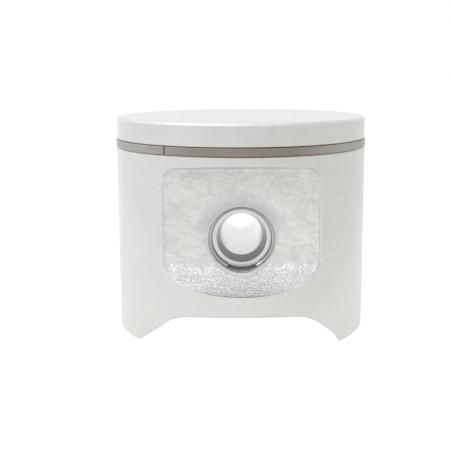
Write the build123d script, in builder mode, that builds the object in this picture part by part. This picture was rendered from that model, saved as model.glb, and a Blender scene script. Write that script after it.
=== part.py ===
from build123d import *
import os
from math import cos, radians, sin, tan

# Piston of a small two-stroke engine, with its ring, ring peg, gudgeon pin and circlips.
# Millimetres. The origin is the middle of the gudgeon pin's axis.
# +Y runs along the gudgeon pin, +Z points to the crown, and the front is -Y.

# Driving dimensions
cylinder_bore = 50.0
compression_height = 21.7      # pin axis to crown
overall_height = 42.4
pin_diameter = 12.0
pin_length = 35.0
ring_height = 1.5
small_end_gap = 18.4           # between the inner faces of the two bosses

# Outside of the casting
skirt_radius = cylinder_bore / 2 - 0.03
land_radius = skirt_radius - 0.12          # the top land runs hottest, so it is smaller
crown_z = compression_height
skirt_end_z = crown_z - overall_height
land_height = 4.1
crown_edge = 0.4
skirt_edge = 0.3

# Ring groove
groove_side_play = 0.02
groove_edge = 0.2
groove_top_z = crown_z - land_height - groove_edge
groove_height = ring_height + 2 * groove_side_play
groove_base_z = groove_top_z - groove_height
groove_root_radius = 22.3
groove_middle_z = groove_top_z - groove_height / 2

# Inside of the casting
crown_thickness = 4.2
crown_underside_z = crown_z - crown_thickness
skirt_wall = 2.6
core_mouth_radius = skirt_radius - skirt_wall
core_neck_radius = 20.8
core_shoulder = 4.5                        # slope between the wall and the underside of the crown
register_radius = 23.0                     # turned locating bore in the open end
register_depth = 2.6

# As-cast recess on each pin side, and the flat wall behind it
recess_floor = 20.2                        # distance from the axis of the piston
recess_half_width = 14.85
recess_corner = 3.0
recess_top_z = 13.3
recess_draft = 10.0
recess_root = 0.6
ramp_start_z = -4.3
ramp_end_z = -9.6
ramp_radius = 8.4
recess_wall = 2.6
inner_flat = recess_floor - recess_wall
inner_ramp_start_z = ramp_start_z - recess_wall
inner_ramp_end_z = ramp_end_z - recess_wall
hollow_corner = 1.5

# Pin bosses
pin_play = 0.02
pin_radius = pin_diameter / 2 - 0.005
bore_radius = pin_radius + pin_play
boss_radius = 8.3
boss_draft = 4.0
boss_face = small_end_gap / 2
pillar_half_width = 5.6
pillar_flare = 2.0
boss_edge = 0.5
boss_root = 1.2                            # fillet where a boss meets the wall
bore_mouth_edge = 0.3

# Circlips of round wire
clip_wire = 1.0
clip_groove_width = 1.1
clip_groove_radius = 6.5
clip_groove_start = pin_length / 2 + 0.05
clip_middle = clip_groove_start + clip_groove_width / 2
clip_line_radius = clip_groove_radius - clip_wire / 2 - 0.02
clip_wire_sides = 8
clip_opening = 50.0                        # degrees

# Arches in the lower edge of the skirt
arch_height = 7.3
arch_half_width = 20.0
arch_leg_angle = 41.8
arch_sag = 0.75
arch_corner = 8.0
arch_edge = 0.25
broad_foot = 18.9                          # the +X feet are broader, with a steep end to their legs
broad_foot_height = 2.4
knee_radius = 2.0
foot_edge = 0.4

# Ring and its peg
ring_outer_radius = cylinder_bore / 2
ring_thickness = 2.2
ring_edge = 0.12
ring_end_gap = 0.25
peg_angle = -124.0                         # from +X, seen from above the crown
peg_diameter = 1.3
peg_reach = 1.5
peg_depth = 2.2
peg_end_edge = 0.15
peg_notch_width = peg_diameter + 0.5
peg_notch_radius = groove_root_radius + peg_reach + 0.3

# Gudgeon pin
pin_bore_radius = 4.0
pin_mouth_radius = 4.7
pin_mouth_depth = 3.5
pin_edge = 0.4

tool_reach = 30.0                          # how far a cutting tool reaches from the axis
near = 0.01                                # how close an edge lies to the plane that it is picked by

os.makedirs("parts", exist_ok=True)


# Cutting body of the front recess: a rounded outline with drafted walls and a flat floor, ended
# below by a hollow ramp that runs out to the skirt.
with BuildPart() as side_recess:
    with BuildSketch(Plane.XZ.offset(recess_floor)) as recess_outline:
        with Locations((0, recess_top_z)):
            Rectangle(2 * recess_half_width, overall_height, align=(Align.CENTER, Align.MAX))
        fillet(recess_outline.vertices().group_by(Axis.Y)[-1], recess_corner)
    extrude(amount=tool_reach - recess_floor, taper=-recess_draft)
    recess_floor_face = side_recess.faces().sort_by(Axis.Y)[-1]
    fillet(recess_floor_face.edges().sort_by(Axis.Z)[-1], recess_root)
    with BuildSketch(Plane.YZ):
        with BuildLine():
            ramp = RadiusArc((-recess_floor, ramp_start_z), (-skirt_radius, ramp_end_z), ramp_radius)
            run_out = Line(ramp @ 1, ramp @ 1 + (ramp % 1) * recess_wall)
            outer_end = run_out @ 1
            Polyline(
                outer_end, (-tool_reach, outer_end.Y), (-tool_reach, crown_z),
                (0, crown_z), (0, ramp_start_z), ramp @ 0,
            )
        make_face()
    extrude(amount=tool_reach, both=True, mode=Mode.INTERSECT)

# The two pin bosses and the pillars that carry them from the crown, as they stand in the hollow.
boss_length = inner_flat - boss_face + boss_root
boss_root_radius = boss_radius + boss_length * tan(radians(boss_draft))
with BuildPart() as bosses:
    with Locations(Plane.XZ.offset(boss_face)):
        Cone(
            boss_radius, boss_root_radius, boss_length,
            align=(Align.CENTER, Align.CENTER, Align.MIN),
        )
    chamfer(bosses.faces().sort_by(Axis.Y)[-1].edges(), boss_edge)
    with BuildSketch(Plane.XZ.offset(boss_face + boss_edge)):
        with BuildLine():
            Polyline(
                (-pillar_half_width, 0), (-pillar_half_width - pillar_flare, crown_z),
                (pillar_half_width + pillar_flare, crown_z), (pillar_half_width, 0), close=True,
            )
        make_face()
    extrude(amount=boss_length - boss_edge)
    mirror(about=Plane.XZ)

# Cutting body of the cast hollow: round and drafted up to the crown's underside, with flat walls
# behind the two recesses, and with the bosses left standing.
with BuildPart() as hollow:
    with BuildSketch(Plane.XZ):
        with BuildLine():
            Polyline(
                (0, crown_underside_z), (0, skirt_end_z), (core_mouth_radius, skirt_end_z),
                (core_neck_radius, crown_underside_z - core_shoulder),
                (core_neck_radius - core_shoulder, crown_underside_z), close=True,
            )
        make_face()
    revolve(axis=Axis.Z)
    with BuildSketch(Plane.YZ):
        with BuildLine():
            Polyline(
                (-tool_reach, skirt_end_z), (-tool_reach, inner_ramp_end_z),
                (-core_mouth_radius, inner_ramp_end_z), (-inner_flat, inner_ramp_start_z),
                (-inner_flat, crown_z), (inner_flat, crown_z), (inner_flat, inner_ramp_start_z),
                (core_mouth_radius, inner_ramp_end_z), (tool_reach, inner_ramp_end_z),
                (tool_reach, skirt_end_z), close=True,
            )
        make_face()
    extrude(amount=tool_reach, both=True, mode=Mode.INTERSECT)
    fillet(hollow.edges().filter_by(Axis.X), hollow_corner)
    add(bosses.part, mode=Mode.SUBTRACT)
    near_bosses = hollow.edges().filter_by_position(Axis.X, -boss_root_radius, boss_root_radius)
    front_edges = near_bosses.filter_by_position(Axis.Y, -inner_flat - near, -inner_flat + near)
    rear_edges = near_bosses.filter_by_position(Axis.Y, inner_flat - near, inner_flat + near)
    fillet(front_edges + rear_edges, boss_root)

# The arch cut across the open end on the pin axis: a slightly bowed crown, round shoulders and
# straight legs that lean outwards. The +X leg turns steeply down at its end.
arch_top_z = skirt_end_z + arch_height
knee_x = arch_half_width - broad_foot_height / tan(radians(arch_leg_angle))
arch_shoulder = arch_half_width - (arch_height - arch_sag) / tan(radians(arch_leg_angle))
with BuildPart() as arch:
    with BuildSketch(Plane.XZ) as arch_outline:
        with BuildLine():
            bow = ThreePointArc(
                (-arch_shoulder, arch_top_z - arch_sag), (0, arch_top_z),
                (arch_shoulder, arch_top_z - arch_sag),
            )
            Polyline(
                bow @ 1, (knee_x, skirt_end_z + broad_foot_height),
                (broad_foot, skirt_end_z), (broad_foot, skirt_end_z - tool_reach),
                (-arch_half_width, skirt_end_z - tool_reach), (-arch_half_width, skirt_end_z),
                bow @ 0,
            )
        make_face()
        fillet(arch_outline.vertices().group_by(Axis.Y)[-1], arch_corner)
        knee_above_feet = arch_outline.vertices().group_by(Axis.Y)[2]
        fillet(knee_above_feet, knee_radius)
    extrude(amount=tool_reach, both=True)

# The peg's own plane: its normal runs outwards along the peg, and its X is up the piston.
peg_plane = Plane(
    origin=(0, 0, groove_middle_z),
    x_dir=(0, 0, 1),
    z_dir=(cos(radians(peg_angle)), sin(radians(peg_angle)), 0),
)
peg_start_radius = groove_root_radius - peg_depth

# The casting: a turned blank less the hollow, the recesses, the arch, the bore and its grooves.
with BuildPart() as piston_body:
    with BuildSketch(Plane.XZ):
        with BuildLine():
            Polyline(
                (0, skirt_end_z), (skirt_radius, skirt_end_z),
                (skirt_radius, groove_base_z - groove_edge), (skirt_radius - groove_edge, groove_base_z),
                (groove_root_radius, groove_base_z), (groove_root_radius, groove_top_z),
                (land_radius - groove_edge, groove_top_z), (land_radius, groove_top_z + groove_edge),
                (land_radius, crown_z), (0, crown_z), close=True,
            )
        make_face()
    revolve(axis=Axis.Z)
    turned_edges = piston_body.edges().filter_by(GeomType.CIRCLE).sort_by(Axis.Z)
    chamfer(turned_edges[-1], crown_edge)
    chamfer(turned_edges[0], skirt_edge)
    add(hollow.part, mode=Mode.SUBTRACT)
    with Locations((0, 0, skirt_end_z)):
        Cylinder(
            register_radius, register_depth, align=(Align.CENTER, Align.CENTER, Align.MIN),
            mode=Mode.SUBTRACT,
        )
    with PolarLocations(0, 2):
        add(side_recess.part, mode=Mode.SUBTRACT)
    add(arch.part, mode=Mode.SUBTRACT)
    skirt_face = piston_body.faces().filter_by(GeomType.CYLINDER).sort_by(SortBy.AREA)[-1]
    arch_edges = skirt_face.edges().filter_by_position(Axis.Z, skirt_end_z + 2 * skirt_edge, arch_top_z)
    chamfer(arch_edges, arch_edge)
    fillet(piston_body.edges().filter_by(Axis.Y).group_by(Axis.Z)[0], foot_edge)
    with Locations(Plane.XZ):
        Cylinder(bore_radius, 2 * tool_reach, mode=Mode.SUBTRACT)
    with Locations(Plane.XZ.offset(clip_middle), Plane.XZ.offset(-clip_middle)):
        Cylinder(clip_groove_radius, clip_groove_width, mode=Mode.SUBTRACT)
    with Locations(Plane.XZ.offset(recess_floor), Plane.ZX.offset(recess_floor)):
        Cone(
            bore_radius, bore_radius + bore_mouth_edge, bore_mouth_edge,
            align=(Align.CENTER, Align.CENTER, Align.MAX), mode=Mode.SUBTRACT,
        )
    with Locations(peg_plane.offset(peg_start_radius)):
        Cylinder(
            peg_diameter / 2, peg_depth + groove_edge, mode=Mode.SUBTRACT,
            align=(Align.CENTER, Align.CENTER, Align.MIN),
        )

# The steel peg, pressed radially into the root of the ring groove.
with BuildPart(peg_plane.offset(peg_start_radius)) as ring_peg:
    Cylinder(peg_diameter / 2, peg_depth + peg_reach, align=(Align.CENTER, Align.CENTER, Align.MIN))
    chamfer(ring_peg.edges().filter_by(GeomType.CIRCLE), peg_end_edge)

# The compression ring, held closed as it is in its cylinder, with its ends notched round the peg.
with BuildPart() as piston_ring:
    with Locations((0, 0, groove_middle_z)):
        Cylinder(ring_outer_radius, ring_height)
        Cylinder(ring_outer_radius - ring_thickness, ring_height, mode=Mode.SUBTRACT)
    chamfer(piston_ring.faces().filter_by(GeomType.CYLINDER).sort_by(SortBy.AREA)[-1].edges(), ring_edge)
    with Locations(peg_plane):
        Box(
            2 * ring_height, ring_end_gap, tool_reach,
            align=(Align.CENTER, Align.CENTER, Align.MIN), mode=Mode.SUBTRACT,
        )
        Box(
            2 * ring_height, peg_notch_width, peg_notch_radius,
            align=(Align.CENTER, Align.CENTER, Align.MIN), mode=Mode.SUBTRACT,
        )

# The hollow gudgeon pin, with its bore opened out at both ends to save weight.
with BuildPart() as gudgeon_pin:
    with BuildSketch(Plane.YZ):
        with BuildLine():
            Polyline(
                (0, pin_bore_radius), (0, pin_radius), (pin_length / 2 - pin_edge, pin_radius),
                (pin_length / 2, pin_radius - pin_edge), (pin_length / 2, pin_mouth_radius),
                (pin_length / 2 - pin_mouth_depth, pin_bore_radius), close=True,
            )
        make_face()
    revolve(axis=Axis.Y)
    mirror(about=Plane.XZ)

# The two wire clips, sprung into their grooves with their openings straight down.
clip_start = Plane(
    origin=(0, 0, 0),
    x_dir=(sin(radians(clip_opening / 2)), 0, -cos(radians(clip_opening / 2))),
    z_dir=(cos(radians(clip_opening / 2)), 0, sin(radians(clip_opening / 2))),
)
with BuildPart() as circlip_rear:
    with BuildSketch(clip_start):
        with Locations((clip_line_radius, clip_middle)):
            RegularPolygon(clip_wire / 2, clip_wire_sides)
    revolve(axis=-Axis.Y, revolution_arc=360 - clip_opening)

with BuildPart() as circlip_front:
    add(circlip_rear.part)
    mirror(about=Plane.XZ, mode=Mode.REPLACE)

piston_body.part.label = "piston_body"
ring_peg.part.label = "ring_peg"
piston_ring.part.label = "piston_ring"
gudgeon_pin.part.label = "gudgeon_pin"
circlip_front.part.label = "circlip_front"
circlip_rear.part.label = "circlip_rear"

for piece in (piston_body, ring_peg, piston_ring, gudgeon_pin, circlip_front, circlip_rear):
    export_step(piece.part, f"parts/{piece.part.label}.step")
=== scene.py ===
from math import pi, radians

import bpy
import numpy as np
from mathutils import Euler, Matrix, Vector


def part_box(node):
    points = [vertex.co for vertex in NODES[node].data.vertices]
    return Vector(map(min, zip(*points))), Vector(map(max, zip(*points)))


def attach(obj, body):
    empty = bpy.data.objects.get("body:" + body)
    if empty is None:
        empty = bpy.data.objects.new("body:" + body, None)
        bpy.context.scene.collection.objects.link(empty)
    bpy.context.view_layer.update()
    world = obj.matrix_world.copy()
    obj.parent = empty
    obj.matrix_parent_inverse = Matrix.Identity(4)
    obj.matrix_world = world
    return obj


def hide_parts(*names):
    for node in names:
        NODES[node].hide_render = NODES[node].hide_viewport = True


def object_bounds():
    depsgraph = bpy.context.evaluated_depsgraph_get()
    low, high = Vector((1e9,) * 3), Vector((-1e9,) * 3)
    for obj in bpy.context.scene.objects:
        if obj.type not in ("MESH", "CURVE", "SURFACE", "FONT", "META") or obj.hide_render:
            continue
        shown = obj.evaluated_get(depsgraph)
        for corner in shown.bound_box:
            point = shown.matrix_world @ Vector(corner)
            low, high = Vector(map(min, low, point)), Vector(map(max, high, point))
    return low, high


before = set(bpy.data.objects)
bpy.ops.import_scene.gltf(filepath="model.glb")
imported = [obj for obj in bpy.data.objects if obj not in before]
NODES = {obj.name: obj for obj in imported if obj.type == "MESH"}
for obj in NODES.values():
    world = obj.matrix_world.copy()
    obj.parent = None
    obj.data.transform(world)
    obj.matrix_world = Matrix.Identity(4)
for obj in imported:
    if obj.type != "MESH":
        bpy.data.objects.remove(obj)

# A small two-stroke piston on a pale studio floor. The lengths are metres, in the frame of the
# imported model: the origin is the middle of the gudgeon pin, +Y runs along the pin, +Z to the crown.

bl_info = {
    "name": "Two-Stroke Piston",
    "version": (1, 0, 0),
    "blender": (4, 5, 0),
    "location": "View3D > Sidebar > Piston",
    "description": "Finishes a small engine piston, its ring, gudgeon pin and clips, and lights it",
    "category": "Object",
}

MM = 0.001
CAD_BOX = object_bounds()


# ---------------------------------------------------------------------------------------------
# Node trees
# ---------------------------------------------------------------------------------------------

class Value:
    """An output socket in a node tree. Arithmetic on it adds the Math nodes."""

    def __init__(self, tree, socket):
        self.tree = tree
        self.socket = socket

    def _math(self, operation, *inputs):
        """The result of a Math node."""
        return self.tree.add("ShaderNodeMath", {"operation": operation}, dict(enumerate(inputs)))

    def __add__(self, other):
        return self._math("ADD", self, other)

    def __radd__(self, other):
        return self._math("ADD", other, self)

    def __sub__(self, other):
        return self._math("SUBTRACT", self, other)

    def __rsub__(self, other):
        return self._math("SUBTRACT", other, self)

    def __mul__(self, other):
        return self._math("MULTIPLY", self, other)

    def __rmul__(self, other):
        return self._math("MULTIPLY", other, self)

    def __abs__(self):
        return self._math("ABSOLUTE", self)

    def __or__(self, other):
        """Either mask: the larger of the two."""
        return self._math("MAXIMUM", self, other)

    def over(self, edge, width):
        """0 up to edge, 1 from edge + width on, and straight in between."""
        inputs = {"Value": self, "From Min": edge, "From Max": edge + width}
        return self.tree.add("ShaderNodeMapRange", {"clamp": True}, inputs)


class Tree:
    """The node tree of a material or a world. Its add method makes any node."""

    def __init__(self, owner, coordinates="Object"):
        owner.use_nodes = True
        self.owner = owner
        self.links = owner.node_tree.links
        self.nodes = owner.node_tree.nodes
        self.nodes.clear()
        self.place = self.add("ShaderNodeTexCoord", {}, {}, coordinates)

    def add(self, kind, settings, inputs, output=0):
        """A node of that type, set and fed, as the Value of one of its outputs."""
        node = self.nodes.new(kind)
        for name, setting in settings.items():
            setattr(node, name, setting)
        for name, given in inputs.items():
            if isinstance(given, Value):
                self.links.new(given.socket, node.inputs[name])
            else:
                node.inputs[name].default_value = given
        return Value(self, node.outputs[output]) if node.outputs else None

    def axes(self):
        """X, Y and Z of the surface point, or of the direction in a world."""
        split = self.add("ShaderNodeSeparateXYZ", {}, {"Vector": self.place})
        return [Value(self, split.socket.node.outputs[name]) for name in "XYZ"]

    def join(self, x=0.0, y=0.0, z=0.0):
        """A vector of three numbers."""
        return self.add("ShaderNodeCombineXYZ", {}, {"X": x, "Y": y, "Z": z})

    def length(self, x, y):
        """The distance of (x, y) from the origin."""
        vector = {"Vector": self.join(x, y)}
        return self.add("ShaderNodeVectorMath", {"operation": "LENGTH"}, vector, "Value")

    def along(self, direction):
        """How far the surface point, or the direction in a world, lies along that direction."""
        vectors = {0: self.place, 1: direction}
        return self.add("ShaderNodeVectorMath", {"operation": "DOT_PRODUCT"}, vectors, "Value")

    def noise(self, size, detail=2.0, roughness=0.5, vector=None, distortion=0.0):
        """Fractal noise, whose largest grains are about that size in metres."""
        inputs = {
            "Vector": vector or self.place, "Scale": 1 / size, "Detail": detail,
            "Roughness": roughness, "Distortion": distortion,
        }
        return self.add("ShaderNodeTexNoise", {}, inputs)

    def blend(self, factor, first, second):
        """From the first colour to the second."""
        inputs = {"Factor": factor, 6: with_alpha(first), 7: with_alpha(second)}
        return self.add("ShaderNodeMix", {"data_type": "RGBA"}, inputs, 2)

    def shade(self, factor, colour, darkest, lightest):
        """The colour times darkest where the factor is 0, and times lightest where it is 1."""
        dark = [channel * darkest for channel in colour]
        light = [min(1.0, channel * lightest) for channel in colour]
        return self.blend(factor, dark, light)

    def bump(self, height, strength, distance):
        """A normal from a height."""
        inputs = {"Height": height, "Strength": strength, "Distance": distance}
        return self.add("ShaderNodeBump", {}, inputs)

    def finish(self, **inputs):
        """Ends the tree in a Principled shader with these inputs, and passes back the material."""
        named = {name.replace("_", " "): given for name, given in inputs.items()}
        shader = self.add("ShaderNodeBsdfPrincipled", {}, named)
        self.add("ShaderNodeOutputMaterial", {}, {"Surface": shader})
        return self.owner


def with_alpha(colour):
    """A three-channel colour as four channels. A Value is passed on."""
    return colour if isinstance(colour, Value) else (*colour, 1.0)


# ---------------------------------------------------------------------------------------------
# Sizes
# ---------------------------------------------------------------------------------------------

body_low, body_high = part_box("piston_body")

SKIRT_RADIUS = body_high.x
CROWN_Z = body_high.z
SKIRT_END_Z = body_low.z
RING_BASE_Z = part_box("piston_ring")[0].z
CLIP_GROOVE_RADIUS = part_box("circlip_front")[1].z + 0.02 * MM
CLIP_OPENING = radians(50)
GROOVE_ROOT = 22.3 * MM
RECESS_FLOOR = 20.2 * MM
RAMP_START_Z = -4.3 * MM
RAMP_END_Z = -9.6 * MM
ARCH_TOP_Z = SKIRT_END_Z + 7.3 * MM
REGISTER_RADIUS = 23.0 * MM
REGISTER_TOP_Z = SKIRT_END_Z + 2.6 * MM

# Where one finish gives way to another
MASK_EDGE = 0.03 * MM
LAND_STEP = 0.24 * MM                      # the top land lies less far inside the skirt
CROWN_EDGE = 0.5 * MM
EDGE_SHADE_DEPTH = 0.07 * MM                     # how far the arch's broken edge cuts into the skirt
EDGE_SHADE_SOFTNESS = 0.02 * MM
RECESS_DEPTH = 0.3 * MM
RAMP_FADE = 1.5 * MM
LIP_DROP = 0.9 * MM                        # the middle of the band of painted glints, below the ramp's start
HALO_WIDTH = 2.6 * MM                     # width of the darker ring round the mouth of the bore
HALO_RISE = 4 * MM                       # how far above the pin that ring is at its darkest
LIT_SIDE_START = 9 * MM                      # painted light: the ring turns lighter from here outwards, along X
LIT_SIDE_FADE = 9 * MM

# Grain of the finishes
ALUMINIUM_PATCH = 9 * MM
ALUMINIUM_BLOOM = 1 * MM
ALUMINIUM_NICK = 1.3 * MM
ALUMINIUM_RELIEF = 0.22 * MM
STREAK_SLANT = radians(17)
STREAK_STRETCH = (4.0, 1.0, 1.0)
STEEL_PATCH = 4 * MM
STEEL_MARK = 0.4 * MM
STEEL_RELIEF = 0.02 * MM

# Steps of the wire clips' mesh
CLIP_TIP_STEPS = 8
CLIP_BEND_STEPS = 97
CLIP_WIRE_SIDES = 16

# The floor that the camera sees: its half-width beside the object, how much that grows per metre
# behind it, and the width over which the glow changes outside it.
SEEN_HALF_WIDTH = 42.5 * MM
SEEN_SLOPE = 0.55
SEEN_FADE = 145 * MM


# ---------------------------------------------------------------------------------------------
# Settings that a user would change
# ---------------------------------------------------------------------------------------------

class FinishSettings(bpy.types.PropertyGroup):
    """Colours and grain of the piston's metals."""

    turned_colour: bpy.props.FloatVectorProperty(
        name="Turned Aluminium", description="Colour of the turned crown, lands and skirt",
        subtype="COLOR", size=3, min=0, max=1, default=(0.628, 0.626, 0.616))
    cast_colour: bpy.props.FloatVectorProperty(
        name="Cast Aluminium", description="Colour of the as-cast side recesses",
        subtype="COLOR", size=3, min=0, max=1, default=(0.672, 0.664, 0.652))
    ramp_colour: bpy.props.FloatVectorProperty(
        name="Cast Ramp", description="Colour of the rougher ramps under the recesses",
        subtype="COLOR", size=3, min=0, max=1, default=(0.675, 0.67, 0.683))
    # Painted highlight: the near-white glints on the ramps' lips.
    painted_glint_colour: bpy.props.FloatVectorProperty(
        name="Ramp Glints", description="Colour of the bright grains where a ramp starts",
        subtype="COLOR", size=3, min=0, max=1, default=(0.95, 0.95, 0.96))
    # Painted shade: the hollow inside the casting is given this darker colour. Nicks, pits, the
    # broken arch edge (painted shade too) and the ring round the bore are drawn towards it.
    painted_shade_and_pit_colour: bpy.props.FloatVectorProperty(
        name="Cast Hollow", description="Colour of the dull skin inside the casting",
        subtype="COLOR", size=3, min=0, max=1, default=(0.40, 0.40, 0.41))
    ring_colour: bpy.props.FloatVectorProperty(
        name="Ring", description="Colour of the phosphated ring",
        subtype="COLOR", size=3, min=0, max=1, default=(0.275, 0.235, 0.205))
    # Painted light: the ring's left and right sides are made lighter in this colour.
    painted_side_light_ring_colour: bpy.props.FloatVectorProperty(
        name="Worn Ring", description="Colour of the ring where the thrust sides have worn it",
        subtype="COLOR", size=3, min=0, max=1, default=(0.38, 0.37, 0.345))
    pin_colour: bpy.props.FloatVectorProperty(
        name="Gudgeon Pin", description="Colour of the ground steel pin",
        subtype="COLOR", size=3, min=0, max=1, default=(0.60, 0.60, 0.61))
    spring_colour: bpy.props.FloatVectorProperty(
        name="Spring Steel", description="Colour of the circlips' wire and the ring peg",
        subtype="COLOR", size=3, min=0, max=1, default=(0.46, 0.455, 0.45))
    tool_mark: bpy.props.FloatProperty(
        name="Tool Mark", description="Width of the marks that the turning tool leaves",
        subtype="DISTANCE", unit="LENGTH", min=0.00005, default=0.0006)
    cast_grain: bpy.props.FloatProperty(
        name="Cast Grain", description="Size of the grains of the cast surface",
        subtype="DISTANCE", unit="LENGTH", min=0.0001, default=0.0005)


class StudioSettings(bpy.types.PropertyGroup):
    """The floor, the light and the camera."""

    camera_place: bpy.props.FloatVectorProperty(
        name="Camera", description="Where the camera stands",
        subtype="TRANSLATION", unit="LENGTH", size=3, default=(-0.00176, -0.17978, 0.03262))
    camera_pitch: bpy.props.FloatProperty(
        name="Pitch", description="How far the camera looks down",
        subtype="ANGLE", unit="ROTATION", default=radians(10.47))
    camera_roll: bpy.props.FloatProperty(
        name="Roll", description="How far the camera is turned about its line of sight",
        subtype="ANGLE", unit="ROTATION", default=radians(-0.2))
    lens: bpy.props.FloatProperty(
        name="Focal Length", description="Focal length in millimetres on a 36 mm sensor",
        min=1, default=70.5)
    shift: bpy.props.FloatVectorProperty(
        name="Shift", description="How far the picture is shifted, in picture widths",
        size=2, default=(-0.01365, -0.0049))
    floor_colour: bpy.props.FloatVectorProperty(
        name="Floor", description="Colour of the floor's sheet",
        subtype="COLOR", size=3, min=0, max=1, default=(0.13, 0.13, 0.13))
    glow_left: bpy.props.FloatVectorProperty(
        name="Glow on the Left", description="Light through the floor, to the left of the object",
        subtype="COLOR", size=3, min=0, default=(1.08, 1.075, 1.07))
    glow_right: bpy.props.FloatVectorProperty(
        name="Glow on the Right", description="Light through the floor, to the right of the object",
        subtype="COLOR", size=3, min=0, default=(0.90, 0.895, 0.87))
    glow_loss: bpy.props.FloatProperty(
        name="Glow Loss", description="Share of the glow that is lost far from the object",
        subtype="FACTOR", min=0, max=1, default=0.17)
    glow_spread: bpy.props.FloatProperty(
        name="Glow Spread", description="How far from the object the glow has changed in full",
        subtype="DISTANCE", unit="LENGTH", min=0.01, default=0.12)
    tent_light: bpy.props.FloatProperty(
        name="Tent", description="Brightness of the white tent round the object",
        min=0, default=1.0)
    tent_slope: bpy.props.FloatVectorProperty(
        name="Tent Slope", description="How much brighter the tent is to the right, behind, above",
        size=3, default=(-0.055, 0.16, 0.05))
    lamp_light: bpy.props.FloatProperty(
        name="Lamp", description="Extra light from the soft lamp over the tent",
        min=0, default=0.6)
    lamp_direction: bpy.props.FloatVectorProperty(
        name="Lamp Direction", description="Where the soft lamp stands, seen from the object",
        subtype="DIRECTION", size=3, default=(-0.38, 0.0, 0.92))
    lamp_edge: bpy.props.FloatProperty(
        name="Lamp Edge", description="Cosine of the angle from the lamp's middle to its edge",
        min=-1, max=1, default=0.70)
    lamp_softness: bpy.props.FloatProperty(
        name="Lamp Softness", description="How far that cosine grows until the lamp shines in full",
        min=0.01, max=1, default=0.25)
    key_power: bpy.props.FloatProperty(
        name="Key Light", description="Power of the small soft light at the upper left",
        unit="POWER", min=0, default=0.35)
    key_size: bpy.props.FloatProperty(
        name="Key Size", description="Width of the small soft light",
        subtype="DISTANCE", unit="LENGTH", min=0.001, default=0.09)
    key_place: bpy.props.FloatVectorProperty(
        name="Key Place", description="Where the small soft light stands",
        subtype="TRANSLATION", unit="LENGTH", size=3, default=(-0.22, -0.26, 0.30))


# ---------------------------------------------------------------------------------------------
# Finishes
# ---------------------------------------------------------------------------------------------

def aluminium(looks):
    """Turned and cast aluminium in one finish, parted by where the surface lies.

    Turned: the outside, the crown, the ring groove, the pin bore with its clip grooves, and the
    locating register in the open end. Everything else is cast. The recesses have the cast skin's own
    light colour; the hollow inside is given a darker colour, which is painted shade. The arch's
    broken edge on the skirt is darkened as painted shade too. Tool marks are noise that runs only
    along the distance z + radius, so they go round the skirt and in rings over the crown.
    """
    tree = Tree(bpy.data.materials.new("machined_aluminium"))
    x, y, z = tree.axes()
    radius = tree.length(x, y)
    outside = radius.over(SKIRT_RADIUS - LAND_STEP, MASK_EDGE)
    crown = z.over(CROWN_Z - CROWN_EDGE, MASK_EDGE)
    groove = z.over(RING_BASE_Z - 2 * MASK_EDGE, MASK_EDGE) * radius.over(
        GROOVE_ROOT - MASK_EDGE, MASK_EDGE)
    bore = 1 - tree.length(x, z).over(CLIP_GROOVE_RADIUS + MASK_EDGE, MASK_EDGE)
    register = (1 - z.over(REGISTER_TOP_Z, MASK_EDGE)) * radius.over(
        REGISTER_RADIUS - 2 * MASK_EDGE, MASK_EDGE)
    turned = outside | crown | groove | bore | register
    # Painted shade: the arch's broken edge on the skirt is darkened.
    cut_back = 1 - radius.over(SKIRT_RADIUS - EDGE_SHADE_DEPTH, EDGE_SHADE_SOFTNESS)
    painted_edge_shade = cut_back * (1 - z.over(ARCH_TOP_Z, MM)) * outside
    recess = abs(y).over(RECESS_FLOOR - RECESS_DEPTH, MASK_EDGE) * z.over(RAMP_END_Z - MM, MM)
    ramp = recess * (1 - z.over(RAMP_START_Z - RAMP_FADE / 3, RAMP_FADE))

    cast_tone, cast_height = cast_surface(tree, looks, ramp)
    marks = tree.noise(
        looks.tool_mark, detail=3.0, roughness=0.7,
        vector=tree.join(z=z + radius, x=x * 0.02, y=y * 0.02))
    patches = tree.noise(ALUMINIUM_PATCH, detail=2.0)
    bloom = tree.noise(ALUMINIUM_BLOOM, detail=4.0, roughness=0.7, distortion=0.4)
    nicks = tree.noise(ALUMINIUM_NICK, detail=1.0).over(0.755, 0.03)
    mottle = bloom * (0.6 + crown * 1.2) - crown * 0.6
    clean_tone = tree.shade(
        patches * 0.4 + marks * 0.4 + mottle - 0.2, looks.turned_colour, 0.88, 1.12)
    # Nicks are dark marks; the broken arch edge is painted shade.
    turned_tone = tree.blend(nicks * 0.45 | painted_edge_shade * 0.5, clean_tone, looks.painted_shade_and_pit_colour)
    # Painted shade: the cast skin inside the hollow takes the darker colour.
    hollow_shade_tone = tree.shade(cast_height, looks.painted_shade_and_pit_colour, 0.75, 1.2)
    height = turned * (marks * 0.12 + crown * bloom * 0.2) + (1 - turned) * cast_height
    return tree.finish(
        Base_Color=tree.blend(turned, tree.blend(recess, hollow_shade_tone, cast_tone), turned_tone),
        Metallic=1 - (1 - turned) * 0.2,
        Roughness=(1 - turned) * (0.5 - ramp * 0.08) + turned * (0.32 + bloom * 0.1),
        Normal=tree.bump(height, 0.8, ALUMINIUM_RELIEF),
    )


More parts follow.
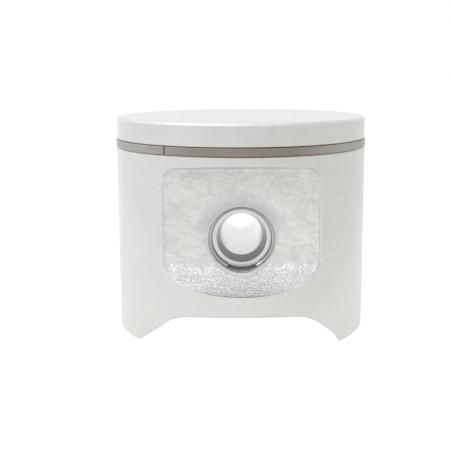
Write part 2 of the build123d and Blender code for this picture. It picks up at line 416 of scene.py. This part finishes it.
def cast_surface(tree, looks, ramp):
    """Colour and height of the cast skin: grain, with slanting streaks that the die's coat leaves.

    Dark pits lie where the streaks peak, and the skin is darker in a ring round the upper half of
    the bore's mouth. Near-white grains on the lip where the ramp starts are painted glints, a
    painted highlight.
    """
    x, _, z = tree.axes()
    grain = tree.noise(looks.cast_grain, detail=3.0, roughness=0.7, distortion=0.6)
    slanted = tree.add("ShaderNodeMapping", {"vector_type": "TEXTURE"}, {
        "Vector": tree.place, "Rotation": (0.0, STREAK_SLANT, 0.0), "Scale": STREAK_STRETCH})
    streaks = tree.noise(looks.cast_grain, detail=4.0, roughness=0.75, vector=slanted)
    wisps = tree.noise(7 * looks.cast_grain, detail=3.0, roughness=0.6, distortion=1.5)
    clouds = tree.noise(16 * looks.cast_grain, detail=1.0)
    floor_tone = tree.shade(
        (grain * 0.3 + streaks * 0.35 + wisps * 0.2 + clouds * 0.15) * 4 - 1.5,
        looks.cast_colour, 0.81, 1.17)
    pits = streaks.over(0.64, 0.08)
    round_bore = 1 - tree.length(x, z).over(CLIP_GROOVE_RADIUS, HALO_WIDTH)
    bore_halo = round_bore * z.over(0.0, HALO_RISE) * wisps
    haloed_tone = tree.blend(pits * 0.3 | bore_halo * 1.1, floor_tone, looks.painted_shade_and_pit_colour)
    ramp_tone = tree.shade((grain * 0.7 + wisps * 0.3) * 4 - 1.5, looks.ramp_colour, 0.90, 1.10)
    # Painted highlight: near-white glints on the band where the ramp starts.
    lip = 1 - abs(z - (RAMP_START_Z - LIP_DROP)).over(LIP_DROP / 3, LIP_DROP * 1.2)
    painted_glints = grain.over(0.47, 0.12) * wisps.over(0.42, 0.15)
    ramp_tone = tree.blend(lip * painted_glints * 0.8, ramp_tone, looks.painted_glint_colour)
    height = grain * (0.9 + ramp * 0.9) + (1 - ramp) * streaks * 0.8
    return tree.blend(ramp, haloed_tone, ramp_tone), height


def steel(name, colour, roughness, stretch, painted_side_light_colour=None):
    """Steel with fine marks, which noise makes long along the axes that are stretched the least.

    A lighter colour can be blended in at the two sides far from the pin's axis: painted light.
    """
    tree = Tree(bpy.data.materials.new(name))
    x, y, z = tree.axes()
    along = tree.join(x * stretch[0], y * stretch[1], z * stretch[2])
    marks = tree.noise(STEEL_MARK, detail=4.0, roughness=0.65, vector=along)
    patches = tree.noise(STEEL_PATCH, detail=2.0)
    tone = tree.shade(marks * 0.5 + patches * 0.5, colour, 0.82, 1.18)
    if painted_side_light_colour:
        # Painted light: the ring's sides far from the pin's axis are made lighter.
        tone = tree.blend(abs(x).over(LIT_SIDE_START, LIT_SIDE_FADE), tone, painted_side_light_colour)
    return tree.finish(
        Base_Color=tone,
        Metallic=1.0,
        Roughness=roughness + patches * 0.1,
        Normal=tree.bump(marks, 0.25, STEEL_RELIEF),
    )


def dress(node, material):
    """Gives a CAD node its finish."""
    slots = NODES[node].material_slots
    if not slots:
        NODES[node].data.materials.append(material)
    for slot in slots:
        slot.material = material


# ---------------------------------------------------------------------------------------------
# Wire clips
# ---------------------------------------------------------------------------------------------

def closed_tube(name, centres, sideways, upwards, radii, sides):
    """A round tube whose ends close in a point.

    A point on it is centre + radius * (cos(turn) * sideways + sin(turn) * upwards), on a grid of
    the centres along the tube and the turns round it.
    """
    turn = np.linspace(0, 2 * pi, sides, endpoint=False)[None, :, None]
    rings = centres[1:-1, None] + radii[1:-1, None, None] * (
        np.cos(turn) * sideways[1:-1, None] + np.sin(turn) * upwards)
    corners = np.arange(rings.shape[0] * sides).reshape(-1, sides)
    after = np.roll(corners, -1, axis=1)
    walls = np.stack([corners[:-1], after[:-1], after[1:], corners[1:]], axis=-1).reshape(-1, 4)
    first, last = corners.size, corners.size + 1
    start_fan = np.stack([np.full(sides, first), after[0], corners[0]], axis=-1)
    end_fan = np.stack([np.full(sides, last), corners[-1], after[-1]], axis=-1)
    points = np.concatenate([rings.reshape(-1, 3), centres[:1], centres[-1:]])
    mesh = bpy.data.meshes.new(name)
    mesh.from_pydata(points.tolist(), [], walls.tolist() + start_fan.tolist() + end_fan.tolist())
    mesh.shade_smooth()
    piece = bpy.data.objects.new(name, mesh)
    bpy.context.collection.objects.link(piece)
    return piece


def wire_clip(node):
    """A sprung wire clip in place of its CAD node: a circle of wire, open below, with round ends.

    The wire's centre line is an arc about the pin's axis. Towards each end the wire's radius falls
    to nothing along a quarter circle.
    """
    low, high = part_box(node)
    wire_radius = (high.y - low.y) / 2
    line_radius = high.x - wire_radius
    half_turn = pi - CLIP_OPENING / 2
    tip = np.linspace(0, pi / 2, CLIP_TIP_STEPS)[:-1]
    reach = half_turn - wire_radius * (1 - np.cos(tip)) / line_radius
    bend = np.linspace(1, -1, CLIP_BEND_STEPS) * (half_turn - wire_radius / line_radius)
    angles = np.concatenate([reach, bend, -reach[::-1]])[:, None]
    narrowing = np.concatenate([np.sin(tip), np.ones(bend.size), np.sin(tip[::-1])])
    outwards = np.sin(angles) * np.array([[1, 0, 0]]) + np.cos(angles) * np.array([[0, 0, 1]])
    middle = np.array([[0, (low.y + high.y) / 2, 0]])
    along_pin = np.array([0, 1, 0])
    return closed_tube(
        node + "_wire", middle + line_radius * outwards, outwards, along_pin,
        wire_radius * narrowing, CLIP_WIRE_SIDES)


# ---------------------------------------------------------------------------------------------
# Operators, panel and registration
# ---------------------------------------------------------------------------------------------

class PISTON_OT_casting(bpy.types.Operator):
    """Finishes the casting"""

    bl_idname = "piston.casting"
    bl_label = "Casting"

    def execute(self, context):
        dress("piston_body", aluminium(context.scene.piston_finish))
        return {"FINISHED"}


class PISTON_OT_steelwork(bpy.types.Operator):
    """Finishes the ring, its peg and the gudgeon pin"""

    bl_idname = "piston.steelwork"
    bl_label = "Ring, Peg and Pin"

    def execute(self, context):
        looks = context.scene.piston_finish
        ring_iron = steel(
            "ring_iron", looks.ring_colour, 0.4, (0.05, 0.05, 4), looks.painted_side_light_ring_colour)
        dress("piston_ring", ring_iron)
        dress("ring_peg", steel("peg_steel", looks.spring_colour, 0.35, (1, 1, 1)))
        dress("gudgeon_pin", steel("pin_steel", looks.pin_colour, 0.16, (0.1, 3, 0.1)))
        return {"FINISHED"}


class PISTON_OT_clips(bpy.types.Operator):
    """Bends the two wire clips"""

    bl_idname = "piston.clips"
    bl_label = "Wire Clips"

    def execute(self, context):
        finish = steel("spring_steel", context.scene.piston_finish.spring_colour, 0.22, (1, 1, 1))
        for node, body in (("circlip_front", "piston"), ("circlip_rear", "rear_clip")):
            clip = wire_clip(node)
            clip.data.materials.append(finish)
            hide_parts(node)
            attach(clip, body)
        return {"FINISHED"}


class PISTON_OT_stage(bpy.types.Operator):
    """Makes the floor, the light and the camera"""

    bl_idname = "piston.stage"
    bl_label = "Studio"

    def execute(self, context):
        studio = context.scene.piston_studio
        self.make_floor(context, studio)
        self.make_tent(context, studio)
        self.make_key(context, studio)
        self.make_camera(context, studio)
        return {"FINISHED"}

    @staticmethod
    def make_floor(context, studio):
        """A pale sheet that glows a little, so that shadows on it stay faint.

        The metal mirrors the sheet, which glows more on the left than on the right, and less
        outside the part of it that the camera sees.
        """
        reach = 2.0
        mesh = bpy.data.meshes.new("floor")
        corners = np.array([(-1, -1), (1, -1), (1, 1), (-1, 1)]) * reach
        mesh.from_pydata([(x, y, CAD_BOX[0].z) for x, y in corners], [], [(0, 1, 2, 3)])
        paper = Tree(bpy.data.materials.new("floor_paper"))
        x, y, _ = paper.axes()
        side = x.over(-studio.glow_spread, 2 * studio.glow_spread)
        near_glow = paper.blend(side, studio.glow_left, studio.glow_right)
        dimmed = [[(1 - studio.glow_loss) * channel for channel in glow]
                  for glow in (studio.glow_left, studio.glow_right)]
        far_glow = paper.blend(side, *dimmed)
        out_of_sight = (abs(x) - y * SEEN_SLOPE).over(SEEN_HALF_WIDTH, SEEN_FADE)
        mesh.materials.append(paper.finish(
            Base_Color=(*studio.floor_colour, 1.0), Roughness=0.9, Specular_IOR_Level=0.2,
            Emission_Color=paper.blend(out_of_sight, near_glow, far_glow),
            Emission_Strength=1.0))
        floor = bpy.data.objects.new("floor", mesh)
        context.collection.objects.link(floor)

    @staticmethod
    def make_tent(context, studio):
        """A white tent with a soft lamp over it. The camera sees it plain white."""
        world = bpy.data.worlds.new("tent")
        context.scene.world = world
        tree = Tree(world, "Generated")
        lamp = tree.along(studio.lamp_direction).over(studio.lamp_edge, studio.lamp_softness)
        slope = tree.along(studio.tent_slope)
        glow = (1.0 + slope + lamp * studio.lamp_light) * studio.tent_light
        seen = tree.add("ShaderNodeLightPath", {}, {}, "Is Camera Ray")
        strength = seen + (1 - seen) * glow
        light = tree.add("ShaderNodeBackground", {}, {"Color": (1, 1, 1, 1), "Strength": strength})
        tree.add("ShaderNodeOutputWorld", {}, {"Surface": light})

    @staticmethod
    def make_key(context, studio):
        """A small soft light at the upper left, which picks out the grain of the casting."""
        data = bpy.data.lights.new("key", "AREA")
        data.energy = studio.key_power
        data.size = studio.key_size
        key = bpy.data.objects.new("key", data)
        key.location = studio.key_place
        key.rotation_euler = (-key.location).to_track_quat("-Z", "Y").to_euler()
        context.collection.objects.link(key)

    @staticmethod
    def make_camera(context, studio):
        """The camera in front of the recess, a little above the crown."""
        data = bpy.data.cameras.new("camera")
        data.lens = studio.lens
        data.shift_x, data.shift_y = studio.shift
        data.clip_start = 0.005
        camera = bpy.data.objects.new("camera", data)
        camera.location = studio.camera_place
        level = Euler((pi / 2 - studio.camera_pitch, 0, 0)).to_matrix()
        look = level @ Matrix.Rotation(studio.camera_roll, 3, "Z")
        camera.rotation_euler = look.to_euler()
        context.collection.objects.link(camera)
        context.scene.camera = camera
        context.scene.view_settings.view_transform = "Standard"


class PISTON_PT_panel(bpy.types.Panel):
    """Lists the piston's operators"""

    bl_idname = "PISTON_PT_panel"
    bl_label = "Two-Stroke Piston"
    bl_space_type = "VIEW_3D"
    bl_region_type = "UI"
    bl_category = "Piston"

    def draw(self, context):
        for operator in OPERATORS:
            self.layout.operator(operator.bl_idname)


OPERATORS = (PISTON_OT_casting, PISTON_OT_steelwork, PISTON_OT_clips, PISTON_OT_stage)
SETTINGS = {"piston_finish": FinishSettings, "piston_studio": StudioSettings}
CLASSES = (*SETTINGS.values(), *OPERATORS, PISTON_PT_panel)


def register():
    for made in CLASSES:
        bpy.utils.register_class(made)
    for name, group in SETTINGS.items():
        setattr(bpy.types.Scene, name, bpy.props.PointerProperty(type=group))


def unregister():
    for name in SETTINGS:
        delattr(bpy.types.Scene, name)
    for made in reversed(CLASSES):
        bpy.utils.unregister_class(made)


def main():
    register()
    bpy.ops.piston.casting()
    bpy.ops.piston.steelwork()
    bpy.ops.piston.clips()
    bpy.ops.piston.stage()


if __name__ == "__main__":
    main()
